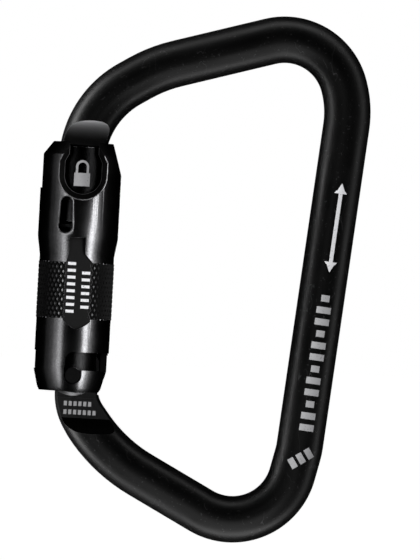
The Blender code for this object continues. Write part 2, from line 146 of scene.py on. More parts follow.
PLUNGER_BORE_TOP = 36.0 * MM
RIVET_R = 2.05 * MM
RIVET_GRIP = 0.05 * MM  # the swaged rivet fills its hole in the gate
RIVET_FRONT = 8.75 * MM
RIVET_BACK = 7.4 * MM

# Springs
GATE_SPRING_R = 1.6 * MM
GATE_SPRING_WIRE_R = 0.3 * MM
GATE_SPRING_LOW = 19.6 * MM
GATE_SPRING_HIGH = 35.4 * MM
GATE_SPRING_TURNS = 9
SLEEVE_SPRING_R = 6.4 * MM
SLEEVE_SPRING_WIRE_R = 0.55 * MM
SLEEVE_SPRING_LOW = 14.85 * MM
SLEEVE_SPRING_HIGH = 41.35 * MM
SLEEVE_SPRING_TURNS = 7
SPRING_STEPS_A_TURN = 24
SPRING_SIDES = 12
SPRING_END_EASE = 0.6  # how flat the first and last turns lie, up to 1

# Sleeve
SLEEVE_LENGTH = 64.1 * MM
SLEEVE_LOW_R = 9.6 * MM
SLEEVE_HIGH_R = 10.35 * MM
SLEEVE_RIM_R = 8.5 * MM
SLEEVE_FOOT_R = 8.0 * MM
FOOT_CHAMFER_Z = 0.9 * MM
SLEEVE_TOP_R = 8.1 * MM
SLEEVE_BORE_R = 7.5 * MM
SLEEVE_GROOVE_R = 8.05 * MM
GROOVE_LOW = 1.5 * MM
GROOVE_HIGH = 10.2 * MM
RIM_CHAMFER_Z = 5.4 * MM
STEP_LOW_Z = 34.9 * MM
STEP_HIGH_Z = 39.6 * MM
TOP_CHAMFER_Z = 60.8 * MM
TOP_FACET_Z = 55.9 * MM
TOP_FACET_DEPTH = 2.45 * MM
SCOOP_X = 0.6 * MM
SCOOP_FLOOR = 50.8 * MM
SCOOP_HALF = 4.7 * MM
SCOOP_NECK_HALF = 3.7 * MM
SCOOP_NECK_Z = 61.0 * MM
SCOOP_LEAN = 2.0 * MM  # the height over which the shoulders lean in
SCOOP_BEVEL = 1.5 * MM
KEYHOLE_X = -3.2 * MM
KEYHOLE_LOW = 40.7 * MM
KEYHOLE_HIGH = 49.9 * MM
KEYHOLE_R = 1.45 * MM
KEYHOLE_BULB_R = 1.75 * MM
KEYHOLE_BEVEL = 0.28 * MM
WINDOW_REACH = 2.5 * MM  # how near the axis a window is cut
BRIGHT_BANDS = (1, 3, 4)  # which of a window cutter's bands leave a worn, bright edge
TRACK_LOW = 5.5 * MM
TRACK_HIGH = 10.2 * MM
TRACK_START_X = -1.4 * MM
TRACK_END_Y = 2.4 * MM
TRACK_CORNER_R = 2.1 * MM
NOTCH_HALF = 2.3 * MM
TANG_SLOT_HALF = 3.05 * MM
TANG_SLOT_TOP = 9.6 * MM
RIM_RELIEF_TOP = 3.6 * MM
NOSE_WAY_FLOOR = 52.0 * MM

# Knurl: diamonds between two families of grooves
KNURL_LOW = 18.8 * MM
KNURL_HIGH = 33.1 * MM
KNURL_STARTS = 48
KNURL_ROWS = 6
KNURL_DEPTH = 0.45 * MM
KNURL_PROUD = 0.14 * MM
KNURL_CREST = 0.66  # the share of their height at which the diamonds are cut flat
KNURL_SPLIT = 6  # mesh steps across one diamond
SLEEVE_SIDES = KNURL_STARTS * KNURL_SPLIT

# Milled panel on the sleeve's front: a neck above a leaf with a pointed foot
PANEL_TURN = radians(5)  # how far the panel faces round towards the spine
PANEL_Y = 8.85 * MM
PANEL_NECK_X = -0.67 * MM
PANEL_X = 0.2 * MM
PANEL_NECK_HALF = 2.1 * MM
PANEL_HALF = 3.65 * MM
PANEL_TOP = 39.6 * MM
PANEL_NECK_Z = 36.0 * MM
PANEL_SHOULDER_Z = 32.5 * MM
PANEL_STEPS = 12
PANEL_TIP_POWER = 1.6  # how blunt the pointed foot is
PANEL_WAIST_Z = 18.5 * MM
PANEL_TIP_Z = 15.9 * MM

# Marks: their distances run down the spine's straight, or along the foot mark's slant
INK_PROUD = 0.03 * MM
INK_SUNK = 0.08 * MM
MARK_STEPS = 8
SPINE_MARK_ACROSS = 1.0 * MM
ARROW_LOW = 20.0 * MM
ARROW_HIGH = 43.0 * MM
ARROW_HALF = 0.5 * MM
ARROW_POINT = 0.02 * MM
ARROW_HEAD_HALF = 1.65 * MM
ARROW_HEAD_LENGTH = 1.6 * ARROW_HEAD_HALF
RULE_BARS = 12
RULE_START = 49.0 * MM
RULE_PITCH = 3.05 * MM
RULE_BAR = 1.7 * MM
RULE_LONG_HALF = 1.9 * MM
RULE_SHORT_HALF = 1.1 * MM
FOOT_MARK_AT = (59.4 * MM, -14.6 * MM)
FOOT_MARK_SLANT = radians(33)
FOOT_BARS = 3
FOOT_START = -2.1 * MM
FOOT_PITCH = 2.4 * MM
FOOT_BAR = 1.6 * MM
FOOT_HALF = 1.4 * MM
BLOCK_ROWS = ((-3.1 * MM, 6), (-5.3 * MM, 7))  # height and number of blocks
BLOCK_START = -0.875 * MM
BLOCK_PITCH = 1.25 * MM
BLOCK_SIZE = (0.8 * MM, 1.2 * MM)
PANEL_COLUMNS = (  # place across, lowest bar's height, number of bars
    (-1.75 * MM, 20.6 * MM, 8),
    (2.0 * MM, 21.8 * MM, 6),
)
PANEL_BAR_PITCH = 1.75 * MM
PANEL_BAR_SIZE = (2.1 * MM, 0.75 * MM)
PADLOCK_X = 0.35 * MM
PADLOCK_LOW = 52.8 * MM
PADLOCK_WIDTH = 4.1 * MM
PADLOCK_HEIGHT = 3.4 * MM
PADLOCK_STRIPS = 8
SHACKLE_R = 1.7 * MM
SHACKLE_STROKE = 0.6 * MM
SHACKLE_LEG = 1.6 * MM
SHACKLE_STEPS = 14

# Studio
CAMERA_ROLL = radians(3.1)
VIEW_CENTRE = Vector((34.585 * MM, 0, 30.524 * MM))
VIEW_HEIGHT = 144.33 * MM  # what the picture's long side covers at the object
LENS = 500.0
SENSOR = 36.0
FLOOR_HALF = 4.0
FLOOR_GAP = 0.5 * MM
DIM_RADIANCE = 0.007
MARK_LIGHT = 3.0
RING_REACH = 0.5
RING_WIDTH = 0.2
STRIP_REACH = 0.6
STRIP_LENGTH = 1.0


# Outlines


def arc(centre_x, centre_z, radius, first, last, steps):
    """Points on an arc in the XZ plane, between two angles in degrees from +X."""
    angles = [radians(first + (last - first) * k / steps) for k in range(steps + 1)]
    return [(centre_x + radius * cos(a), centre_z + radius * sin(a)) for a in angles]


def bar_path():
    """The bar's centreline as (point, tangent) pairs: straights with tangent arcs between."""
    corners = [tuple(value * MM for value in corner) for corner in BAR_CORNERS_MM]
    first, last = Vector(corners[0][:2]), Vector(corners[-1][:2])
    path = [(first, (Vector(corners[1][:2]) - first).normalized())]
    for before, here, after in zip(corners, corners[1:], corners[2:]):
        corner = Vector(here[:2])
        back = (Vector(before[:2]) - corner).normalized()
        onward = (Vector(after[:2]) - corner).normalized()
        half = back.angle(onward) / 2
        centre = corner + (back + onward).normalized() * here[2] / sin(half)
        tangent = here[2] / tan(half)
        start = corner + back * tangent - centre
        turn = start.angle_signed(corner + onward * tangent - centre)
        steps = max(2, round(abs(turn) / BEND_STEP))
        for k in range(steps + 1):
            spin = Matrix.Rotation(-turn * k / steps, 2)
            path.append((centre + spin @ start, spin @ -back))
    path.append((last, path[-1][1].copy()))
    return path


# Mesh helpers


def add_object(name, data):
    made = bpy.data.objects.new(name, data)
    bpy.context.scene.collection.objects.link(made)
    return made


def mesh_object(name, shape, material):
    """An object in the gate's own frame, from a bmesh that it uses up."""
    bmesh.ops.recalc_face_normals(shape, faces=shape.faces)
    mesh = bpy.data.meshes.new(name)
    shape.to_mesh(mesh)
    shape.free()
    mesh.materials.append(material)
    made = add_object(name, mesh)
    made.location = GATE_ORIGIN
    return made


def second_material(made, material, bands, count):
    """Gives another material to whole bands of a loft, each of count faces."""
    made.data.materials.append(material)
    for band in bands:
        for face in made.data.polygons[band * count:(band + 1) * count]:
            face.material_index = 1
    return made


def circle(radius, sides):
    angles = [tau * n / sides for n in range(sides)]
    return [(radius * cos(a), radius * sin(a)) for a in angles]


def add_loft(shape, rings):
    """A closed body through rings with the same number of points each."""
    made = [[shape.verts.new(point) for point in ring] for ring in rings]
    count = len(rings[0])
    for low, high in zip(made, made[1:]):
        for n in range(count):
            m = (n + 1) % count
            shape.faces.new((low[n], low[m], high[m], high[n]))
    shape.faces.new(made[0][::-1])
    shape.faces.new(made[-1])


def loft(name, rings, material):
    shape = bmesh.new()
    add_loft(shape, rings)
    return mesh_object(name, shape, material)


def prism(name, outline, low_y, high_y, material):
    """A flat outline in the XZ plane, thickened between two values of y."""
    return loft(name, [[(x, y, z) for x, z in outline] for y in (low_y, high_y)], material)


def box(name, low, high, material):
    outline = [(low[0], low[2]), (high[0], low[2]), (high[0], high[2]), (low[0], high[2])]
    return prism(name, outline, low[1], high[1], material)


def turned(name, profile, sides, material):
    """A closed outline of (radius, z) points turned about the gate's axis."""
    shape = bmesh.new()
    rows = []
    for radius, z in profile:
        if radius:
            rows.append([shape.verts.new((x, y, z)) for x, y in circle(radius, sides)])
        else:
            rows.append([shape.verts.new((0, 0, z))] * sides)
    pairs = list(zip(rows, rows[1:]))
    if profile[0][0]:
        pairs.append((rows[-1], rows[0]))
    for low, high in pairs:
        for n in range(sides):
            m = (n + 1) % sides
            shape.faces.new(list(dict.fromkeys((low[n], low[m], high[m], high[n]))))
    return mesh_object(name, shape, material)


def rod(name, centre, axis, radius, low, high, sides, material, edge=0.0):
    """A round rod along an axis, with its end edges broken."""
    turn = Vector(axis).to_track_quat("Z", "Y").to_matrix()
    sections = [(low, radius), (high, radius)]
    if edge:
        start, end = (low, radius - edge), (high, radius - edge)
        sections = [start, (low + edge, radius), (high - edge, radius), end]
    rings = []
    for along, size in sections:
        ring = circle(size, sides)
        rings.append([Vector(centre) + turn @ Vector((x, y, along)) for x, y in ring])
    return loft(name, rings, material)


def cut(target, cutters, operation="DIFFERENCE"):
    """Cuts with each cutter in turn, and leaves the cut faces the cutter's material."""
    for cutter in cutters:
        modifier = target.modifiers.new(cutter.name, "BOOLEAN")
        modifier.operation = operation
        modifier.solver = "EXACT"
        modifier.material_mode = "TRANSFER"
        modifier.object = cutter
        apply_modifiers(target)
        bpy.data.objects.remove(cutter)


def apply_modifiers(made):
    bpy.context.view_layer.update()
    seen = made.evaluated_get(bpy.context.evaluated_depsgraph_get())
    mesh = bpy.data.meshes.new_from_object(seen)
    made.modifiers.clear()
    made.data = mesh


def smooth(made, degrees=32):
    made.data.shade_smooth()
    made.data.set_sharp_from_angle(angle=radians(degrees))
    return made


def place(made, body, slot, *nodes):
    """Puts a finished piece on its body and hides the nodes it stands for. The slot is not used.
    """
    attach(made, body)
    if nodes:
        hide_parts(*nodes)
    return made


# Materials


def feed(tree, node, inputs):
    """Sets a node's inputs, or links them where the value is another node's output."""
    for key, value in inputs.items():
        if isinstance(value, bpy.types.NodeSocket):
            tree.links.new(value, node.inputs[key])
        else:
            node.inputs[key].default_value = value


def add(tree, kind, inputs=None, **settings):
    """A shader node with its settings and inputs."""
    node = tree.nodes.new("ShaderNode" + kind)
    for key, value in settings.items():
        setattr(node, key, value)
    feed(tree, node, inputs or {})
    return node


def new_material(name):
    material = bpy.data.materials.new(name)
    material.use_nodes = True
    tree = material.node_tree
    return material, tree, tree.nodes["Principled BSDF"]


def place_of(tree, stretch=(1, 1, 1)):
    """The point on the piece, in metres, with each axis scaled."""
    here = add(tree, "TexCoord").outputs["Object"]
    return add(tree, "Mapping", {"Vector": here, "Scale": stretch}).outputs["Vector"]


def noise(tree, grain, detail=3.0, rough=0.5, stretch=(1, 1, 1)):
    """Noise whose features are about grain metres across, and less where an axis is scaled up."""
    settings = {"Scale": 1 / grain, "Detail": detail, "Roughness": rough}
    settings["Vector"] = place_of(tree, stretch)
    return add(tree, "TexNoise", settings).outputs["Fac"]


def spread(tree, value, low, high, new_low, new_high):
    """Maps low to high onto new_low to new_high, and holds the ends."""
    inputs = {"Value": value, 1: low, 2: high, 3: new_low, 4: new_high}
    return add(tree, "MapRange", inputs).outputs["Result"]


def spread_noise(tree, value, new_low, new_high):
    """Maps the range that a noise mostly keeps to onto new_low to new_high."""
    return spread(tree, value, 0.3, 0.7, new_low, new_high)


def calc(tree, operation, first, second=0.0):
    return add(tree, "Math", {0: first, 1: second}, operation=operation).outputs["Value"]


def times(tree, value, factor):
    return calc(tree, "MULTIPLY", value, factor)


def stronger(tree, first, second):
    return calc(tree, "MAXIMUM", first, second)


def blend_colours(tree, factor, first, second):
    """Blends two colours, by the Mix node's own sockets for them."""
    node = add(tree, "Mix", data_type="RGBA")
    feed(tree, node, {0: factor, 6: first, 7: second})
    return node.outputs[2]


def grey(value):
    return (value, value, value * 1.03, 1)


def greys(tree, factor, first, second):
    return blend_colours(tree, factor, grey(first), grey(second))


def relief(tree, shader, height, strength, depth=0.01 * MM):
    """Fine relief, where a height of 1 stands for the depth."""
    bump = add(tree, "Bump", {"Height": height, "Strength": strength, "Distance": depth})
    feed(tree, shader, {"Normal": bump.outputs["Normal"]})


def scratches(tree, grain, width, share, stretch=(1, 1, 1)):
    """Fine wandering lines, in patches: 1 on a line and 0 off it."""
    field = noise(tree, grain, 2.0, 0.5, stretch)
    from_line = calc(tree, "ABSOLUTE", calc(tree, "SUBTRACT", field, 0.5))
    line = spread(tree, from_line, 0.0, width, 1.0, 0.0)
    patches = noise(tree, grain * 0.7, 2.0, 0.5, stretch)
    patch = spread(tree, patches, 1 - share, 1 - share + 0.05, 0.0, 1.0)
    return times(tree, line, patch)


def worn_edges(tree, radius):
    """1 where the surface turns sharply within a radius, and 0 on open surfaces."""
    rounded = add(tree, "Bevel", {"Radius": radius}, samples=4).outputs["Normal"]
    flat = add(tree, "NewGeometry").outputs["Normal"]
    same = add(tree, "VectorMath", {0: rounded, 1: flat}, operation="DOT_PRODUCT")
    return spread(tree, same.outputs["Value"], 0.99, 0.86, 0.0, 1.0)


def edged(tree, plain, radius, shade):
    """A colour that pales to a shade of grey along the edges."""
    return blend_colours(tree, worn_edges(tree, radius), plain, grey(shade))


def skin(tree, shader, colour, rough, metallic=0.0):
    feed(tree, shader, {"Base Color": colour, "Roughness": rough, "Metallic": metallic})


def level_of(tree):
    """The height up the piece, in metres."""
    return add(tree, "SeparateXYZ", {"Vector": place_of(tree)}).outputs["Z"]


def coated_steel():
    """Satin black coating with scuffs, specks and paler edges."""
    material, tree, shader = new_material("satin_black_coat")
    fine = noise(tree, 0.35 * MM, 2.0)
    broad = noise(tree, 9 * MM, 4.0)
    speck = spread(tree, noise(tree, 0.7 * MM, 1.0), 0.69, 0.74, 0.0, 1.0)
    scuff = scratches(tree, 5 * MM, 0.004, 0.45, (1, 1, 0.35))
    edge = worn_edges(tree, 0.25 * MM)
    marks = stronger(tree, times(tree, speck, 0.5), scuff)
    marks = stronger(tree, marks, times(tree, edge, 0.6))
    plain = greys(tree, broad, 0.0015, 0.004)
    colour = blend_colours(tree, marks, plain, grey(0.10))
    rough = spread_noise(tree, broad, 0.30, 0.40)
    skin(tree, shader, colour, calc(tree, "ADD", rough, times(tree, fine, 0.06)))
    height = calc(tree, "SUBTRACT", fine, times(tree, scuff, 0.6))
    relief(tree, shader, height, 0.25, 0.012 * MM)
    return material


def milled_coat():
    """The coating over a milled surface: duller, with fine cutter lines."""
    material, tree, shader = new_material("milled_black_coat")
    line = noise(tree, 1.4 * MM, 3.0, 0.7, (1, 1, 9))
    fine = noise(tree, 0.25 * MM, 2.0)
    colour = edged(tree, greys(tree, line, 0.018, 0.032), 0.2 * MM, 0.09)
    skin(tree, shader, colour, spread_noise(tree, line, 0.48, 0.60))
    relief(tree, shader, calc(tree, "ADD", line, times(tree, fine, 0.5)), 0.3)
    return material


def runout_painted_highlight():
    """The mill's round run-out, with a painted highlight: its colour pales upwards from near
    black to white, standing in for light from below.
    """
    material, tree, shader = new_material("runout_painted_highlight")
    line = noise(tree, 0.5 * MM, 3.0, 0.7, (0.2, 1, 3))
    ragged = calc(tree, "ADD", level_of(tree), times(tree, line, 0.6 * MM))
    # painted highlight: how far up the run-out, which pales the colour towards white
    highlight = spread(tree, ragged, NOSE_FLAT_END, NOSE_FLAT_END + NOSE_RUNOUT_R, 0.0, 1.0)
    plain = greys(tree, calc(tree, "POWER", highlight, 2.6), 0.03, 1.0)
    colour = edged(tree, plain, 0.15 * MM, 0.7)
    skin(tree, shader, colour, spread_noise(tree, line, 0.45, 0.55))
    relief(tree, shader, line, 0.3)
    return material


def anodised():
    """Black anodising over a turned surface, whose fine rings stretch the highlights."""
    material, tree, shader = new_material("black_anodised_turned")
    ring = noise(tree, 0.16 * MM, 3.0, 0.7, (0.03, 0.03, 1))
    broad = noise(tree, 6 * MM, 4.0)
    grain = noise(tree, 0.35 * MM, 2.0, 0.8)
    edge = worn_edges(tree, 0.16 * MM)
    scuff = scratches(tree, 4 * MM, 0.003, 0.35)
    marks = stronger(tree, times(tree, edge, 0.12), times(tree, scuff, 0.4))
    mottle = calc(tree, "ADD", broad, times(tree, grain, 2.0))
    plain = greys(tree, spread(tree, mottle, 1.1, 1.9, 0.0, 1.0), 0.022, 0.050)
    colour = blend_colours(tree, marks, plain, grey(0.20))
    skin(tree, shader, colour, spread_noise(tree, broad, 0.22, 0.27), 1.0)
    feed(tree, shader, {
        "Specular Tint": (0.15, 0.15, 0.15, 1),
        "Anisotropic": 0.5,
        "Anisotropic Rotation": 0.25,
        "Tangent": add(tree, "Tangent", direction_type="RADIAL", axis="Z").outputs["Tangent"],
    })
    relief(tree, shader, ring, 0.15)
    return material


def dull_black(name, shades, specular, roughness=(0.55, 0.70), strength=0.2, depth=0.01 * MM):
    """A dull black with faint tool marks: the rivet's and the cut faces' finish, and painted
    shade on the knurl's slopes and in the windows.
    """
    material, tree, shader = new_material(name)
    line = noise(tree, 0.3 * MM, 3.0, 0.7)
    skin(tree, shader, greys(tree, line, *shades), spread_noise(tree, line, *roughness))
    feed(tree, shader, {"Specular IOR Level": specular})
    relief(tree, shader, line, strength, depth)
    return material


def worn_rim():
    """Broken edges where the anodising has worn to grey metal, unevenly."""
    material, tree, shader = new_material("worn_window_rim")
    patches = noise(tree, 1.6 * MM, 4.0, 0.7)
    wear = spread(tree, patches, 0.35, 0.6, 0.0, 1.0)
    rough = spread(tree, wear, 0.0, 1.0, 0.6, 0.45)
    skin(tree, shader, greys(tree, wear, 0.03, 0.11), rough, 1.0)
    return material


def milled_panel():
    """The sleeve's milled panel: an even, dull dark grey."""
    material, tree, shader = new_material("milled_dark_panel")
    line = noise(tree, 1.2 * MM, 3.0, 0.7, (8, 1, 1))
    fine = noise(tree, 0.2 * MM, 2.0)
    colour = edged(tree, greys(tree, line, 0.0006, 0.0014), 0.15 * MM, 0.05)
    skin(tree, shader, colour, spread_noise(tree, fine, 0.50, 0.60))
    feed(tree, shader, {"Specular IOR Level": 0.05})
    relief(tree, shader, line, 0.2)
    return material


def cast_steel():
    """Dark cast steel with a glossy, mottled skin, and painted shade that darkens it towards the
    head.
    """
    material, tree, shader = new_material("mottled_cast_gate")
    lumps = noise(tree, 0.5 * MM, 3.0, 0.7)
    broad = noise(tree, 4 * MM, 2.0)
    edge = times(tree, worn_edges(tree, 0.2 * MM), 0.15)
    # painted shade: the colour darkens up the head, dimming its highlights
    head = spread(tree, level_of(tree), WAIST_HIGH, NOSE_SLOT_FLOOR, 0.0, 1.0)
    plain = greys(tree, lumps, 0.0015, 0.008)
    head_shade = greys(tree, lumps, 0.0002, 0.002)
    colour = blend_colours(tree, edge, blend_colours(tree, head, plain, head_shade), grey(0.4))
    skin(tree, shader, colour, spread_noise(tree, broad, 0.16, 0.28), 1.0)
    relief(tree, shader, lumps, 0.9, 0.10 * MM)
    return material


def bright_steel(name, shade, roughness, grain):
    """Bare steel with fine draw lines: pins, springs, washer and plunger."""
    material, tree, shader = new_material(name)
    line = noise(tree, grain, 3.0, 0.7)
    colour = edged(tree, greys(tree, line, shade * 0.8, shade * 1.2), 0.12 * MM, 0.6)
    skin(tree, shader, colour, spread_noise(tree, line, roughness, roughness + 0.12), 1.0)
    relief(tree, shader, line, 0.2)
    return material


def marking_ink(name, shade):
    """Pale marking ink, a little uneven and rubbed away in specks."""
    material, tree, shader = new_material(name)
    rub = spread(tree, noise(tree, 0.45 * MM, 3.0), 0.60, 0.72, 0.0, 0.55)
    tone = greys(tree, noise(tree, 3 * MM, 2.0), shade * 0.85, shade * 1.1)
    colour = blend_colours(tree, rub, tone, grey(0.05))
    skin(tree, shader, colour, spread(tree, rub, 0.0, 0.5, 0.5, 0.7))
    return material


COAT = coated_steel()
MILLED = milled_coat()
# painted highlight on the nose run-out
RUNOUT_HIGHLIGHT = runout_painted_highlight()
ANODISED = anodised()
# near-black dull finish of the sleeve's top facet and the hinge run-out, and painted shade on the
# knurl's sloping faces
CUT_BLACK_AND_GROOVE_SHADE = dull_black("cut_black_and_groove_shade", (0.00072, 0.00168), 0.04)
# painted shade: near black and barely reflecting, on the bevels and walls of the windows, tracks
# and ways
WINDOW_SHADE = dull_black("window_painted_shade", (0.00036, 0.00084), 0.01)
WORN_RIM = worn_rim()
PANEL = milled_panel()
CAST = cast_steel()
RIVET_STEEL = dull_black("dark_rivet_steel", (0.0005, 0.002), 0.01, (0.45, 0.6), 0.3, 0.02 * MM)
PIN_STEEL = bright_steel("ground_pin_steel", 0.42, 0.25, 0.2 * MM)
SPRING_STEEL = bright_steel("drawn_spring_steel", 0.30, 0.28, 0.25 * MM)
ARROW_INK = marking_ink("arrow_marking_ink", 0.75)
PADLOCK_INK = marking_ink("padlock_ink", 0.30)
GREY_INK = marking_ink("grey_marking_ink", 0.38)
FLAT_INK = marking_ink("flat_marking_ink", 0.25)
PANEL_INK = marking_ink("panel_marking_ink", 0.95)


# Frame

BAR_PATH = bar_path()


def bar():
    """The bent bar, a little slimmer towards the hinge end."""
    end = BAR_PATH[-1][0]
    rings = []
    for n, (point, tangent) in enumerate(BAR_PATH):
        if n and (point - BAR_PATH[n - 1][0]).length < MIN_STEP:
            continue
        near = min(1.0, (point - end).length / HINGE_TAPER)
        radius = BAR_R * (HINGE_END_SCALE + (1 - HINGE_END_SCALE) * near)
        across = Vector((tangent.y, -tangent.x))
        ring = [(point + across * aside, y) for aside, y in circle(radius, BAR_SIDES)]
        rings.append([(flat.x, y, flat.y) for flat, y in ring])
    return loft("frame_bar", rings, COAT)


def cam_outline():
    """The tang's round end about the rivet, with the cam that lifts the plunger."""
    contact = atan2(PIVOT_X, CAM_R)
    points = []
    for degrees in range(-100, 101, 4):
        angle = radians(degrees)
        radius = CAM_R + CAM_RISE_PER_RADIAN * min(max(0.0, angle + contact), CAM_SPAN)
        points.append((PIVOT_X + radius * sin(angle), PIVOT_Z + radius * cos(angle)))
    return points


def flat_cutters():
    """The mills that leave the front and back flats of both ends, with round run-outs."""
    cutters = []
    for side in (-1, 1):
        for name, low, high, half in (
            ("hinge_flat", HINGE_FLAT_END, PIVOT_Z + FAR / 2, FLAT_HALF),
            ("tang_flat", TANG_TOP_OF_FLAT, PIVOT_Z + FAR / 2, TANG_HALF),
            ("nose_flat", NOSE_SLOT_FLOOR - GATE_R, NOSE_FLAT_END, FLAT_HALF),
        ):
            near, out = sorted((side * half, side * FAR))
            cutters.append(box(name, (-FAR, near, low), (FAR, out, high), MILLED))
        for name, z, radius, material in (
            ("hinge_runout", HINGE_FLAT_END, HINGE_RUNOUT_R, CUT_BLACK_AND_GROOVE_SHADE),
            # the nose run-out takes the painted highlight
            ("nose_runout", NOSE_FLAT_END, NOSE_RUNOUT_R, RUNOUT_HIGHLIGHT),
        ):
            centre = (0, side * (FLAT_HALF + radius), z)
            axis = (1, 0, 0)
            cutters.append(rod(name, centre, axis, radius, -FAR, FAR, RUNOUT_SIDES, material))
    return cutters


def nose_notch():
    """What is cut away below and in front of the nose's hook."""
    notch = [(FAR, LATCH_Z + NOTCH_R)]
    notch += arc(LATCH_X, LATCH_Z, NOTCH_R, 90, 180, 12)
    notch += [
        (LATCH_X - NOTCH_R, NOTCH_FLOOR),
        (TOE_X - TOE_CHAMFER, NOTCH_FLOOR),
        (TOE_X, NOTCH_FLOOR - TOE_CHAMFER),
        (TOE_X, NOTCH_FLOOR - GATE_R),
        (FAR, NOTCH_FLOOR - GATE_R),
    ]
    return prism("nose_notch", notch, -FAR, FAR, MILLED)


def make_frame():
    made = bar()
    cut(made, [prism("hinge_eye", cam_outline(), -TANG_HALF, TANG_HALF, MILLED)], "UNION")
    cut(made, flat_cutters())
    near, out = TANG_REACH, 2 * TANG_REACH
    low, high = TANG_TRIM_LOW, TANG_TRIM_HIGH
    ring = [(out, high), (out, low), (near, low), (near, high)]
    pivot = (PIVOT_X, 0, PIVOT_Z)
    hole_r = RIVET_R + PIN_CLEARANCE
    hole = rod("hole", pivot, (0, 1, 0), hole_r, -FAR, FAR, HOLE_SIDES, MILLED)
    cut(made, [turned("tang_trim", ring, GATE_SIDES, MILLED), nose_notch(), hole])
    return place(smooth(made), "frame", "frame_black", "frame")


# Gate


def ears():
    """What is left of the gate: square above, round below, with the round edge bevelled."""
    wide = GATE_R + MM
    rings = []
    for y, inset in (
        (-EAR_BEVEL_Y - EAR_BEVEL, EAR_BEVEL),
        (-EAR_BEVEL_Y, 0),
        (EAR_BEVEL_Y, 0),
        (EAR_BEVEL_Y + EAR_BEVEL, EAR_BEVEL),
    ):
        outline = [(-wide, GATE_TOP + MM), (-wide, EAR_SHOULDER_Z)]
        outline += arc(PIVOT_X, EAR_Z, EAR_R - inset, 170, 370, 40)
        outline += [(wide, EAR_SHOULDER_Z), (wide, GATE_TOP + MM)]
        rings.append([(x, y, z) for x, z in outline])
    return second_material(loft("ears", rings, CAST), PIN_STEEL, (0, 2), len(rings[0]))


def make_gate():
    profile = [
        (0, GATE_TOP),
        (GATE_R - GATE_CHAMFER, GATE_TOP),
        (GATE_R, GATE_TOP - GATE_CHAMFER),
        (GATE_R, WAIST_HIGH + GATE_CHAMFER),
        (GATE_R - GATE_CHAMFER, WAIST_HIGH),
        (WAIST_R, WAIST_HIGH),
        (WAIST_R, WAIST_LOW),
        (GATE_R - GATE_CHAMFER, WAIST_LOW),
        (GATE_R, WAIST_LOW - GATE_CHAMFER),
        (GATE_R, EAR_Z - EAR_R - MM),
        (0, EAR_Z - EAR_R - MM),
    ]
    made = turned("gate_cast", profile, GATE_SIDES, CAST)
    cut(made, [ears()], "INTERSECT")
    nose_low = (-FAR, -NOSE_SLOT_HALF, NOSE_SLOT_FLOOR)
    nose_high = (FAR, NOSE_SLOT_HALF, 3 * FAR)
    cutters = [
        box("fork_slot", (-FAR, -FORK_HALF, -FAR), (FAR, FORK_HALF, FORK_TOP), CAST),
        box("nose_slot", nose_low, nose_high, CAST),
    ]
    for name, x, z, radius, front in (
        ("rivet_hole", PIVOT_X, PIVOT_Z, RIVET_R - RIVET_GRIP, FAR),
        ("latch_hole", LATCH_X, LATCH_Z, LATCH_R + PIN_CLEARANCE, LATCH_HOLE_FRONT),
    ):
        centre, axis = (x, 0, z), (0, 1, 0)
        cutters.append(rod(name, centre, axis, radius, -front, FAR, HOLE_SIDES, CAST))
    bore = (PLUNGER_BORE_R, FORK_TOP - MM, PLUNGER_BORE_TOP)
    cutters.append(rod("bore", (0, 0, 0), (0, 0, 1), *bore, HOLE_SIDES, CAST))
    cut(made, cutters)
    return place(smooth(made), "gate", "gate_steel", "gate_body")


def make_rivet():
    made = rod(
        "hinge_rivet_head", (PIVOT_X, 0, PIVOT_Z), (0, 1, 0), RIVET_R,
        -RIVET_FRONT, RIVET_BACK, 64, RIVET_STEEL, EDGE,
    )
    return place(smooth(made), "gate", "rivet_black", "hinge_rivet")


def coil(name, radius, wire, low, high, turns):
    """A coil of round wire whose first and last turns lie nearly flat."""
    shape = bmesh.new()
    count = turns * SPRING_STEPS_A_TURN
    rings = []
    for n in range(count + 1):
        share = n / count
        angle = tau * turns * share
        ease = share - sin(tau * share) / tau * SPRING_END_EASE
        outward = Vector((cos(angle), sin(angle), 0))
        centre = outward * radius + Vector((0, 0, low + (high - low) * ease))
        section = circle(wire, SPRING_SIDES)
        rings.append([centre + outward * out + Vector((0, 0, up)) for out, up in section])
    add_loft(shape, rings)
    return mesh_object(name, shape, SPRING_STEEL)


def make_springs():
    small = coil(
        "gate_return_coil", GATE_SPRING_R, GATE_SPRING_WIRE_R,
        GATE_SPRING_LOW, GATE_SPRING_HIGH, GATE_SPRING_TURNS,
    )
    large = coil(
        "sleeve_return_coil", SLEEVE_SPRING_R, SLEEVE_SPRING_WIRE_R,
        SLEEVE_SPRING_LOW, SLEEVE_SPRING_HIGH, SLEEVE_SPRING_TURNS,
    )
    for made, node in ((small, "gate_spring"), (large, "sleeve_spring")):
        place(smooth(made, 60), "gate", "spring_steel", node)
    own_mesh(small)
    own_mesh(large)


# Sleeve


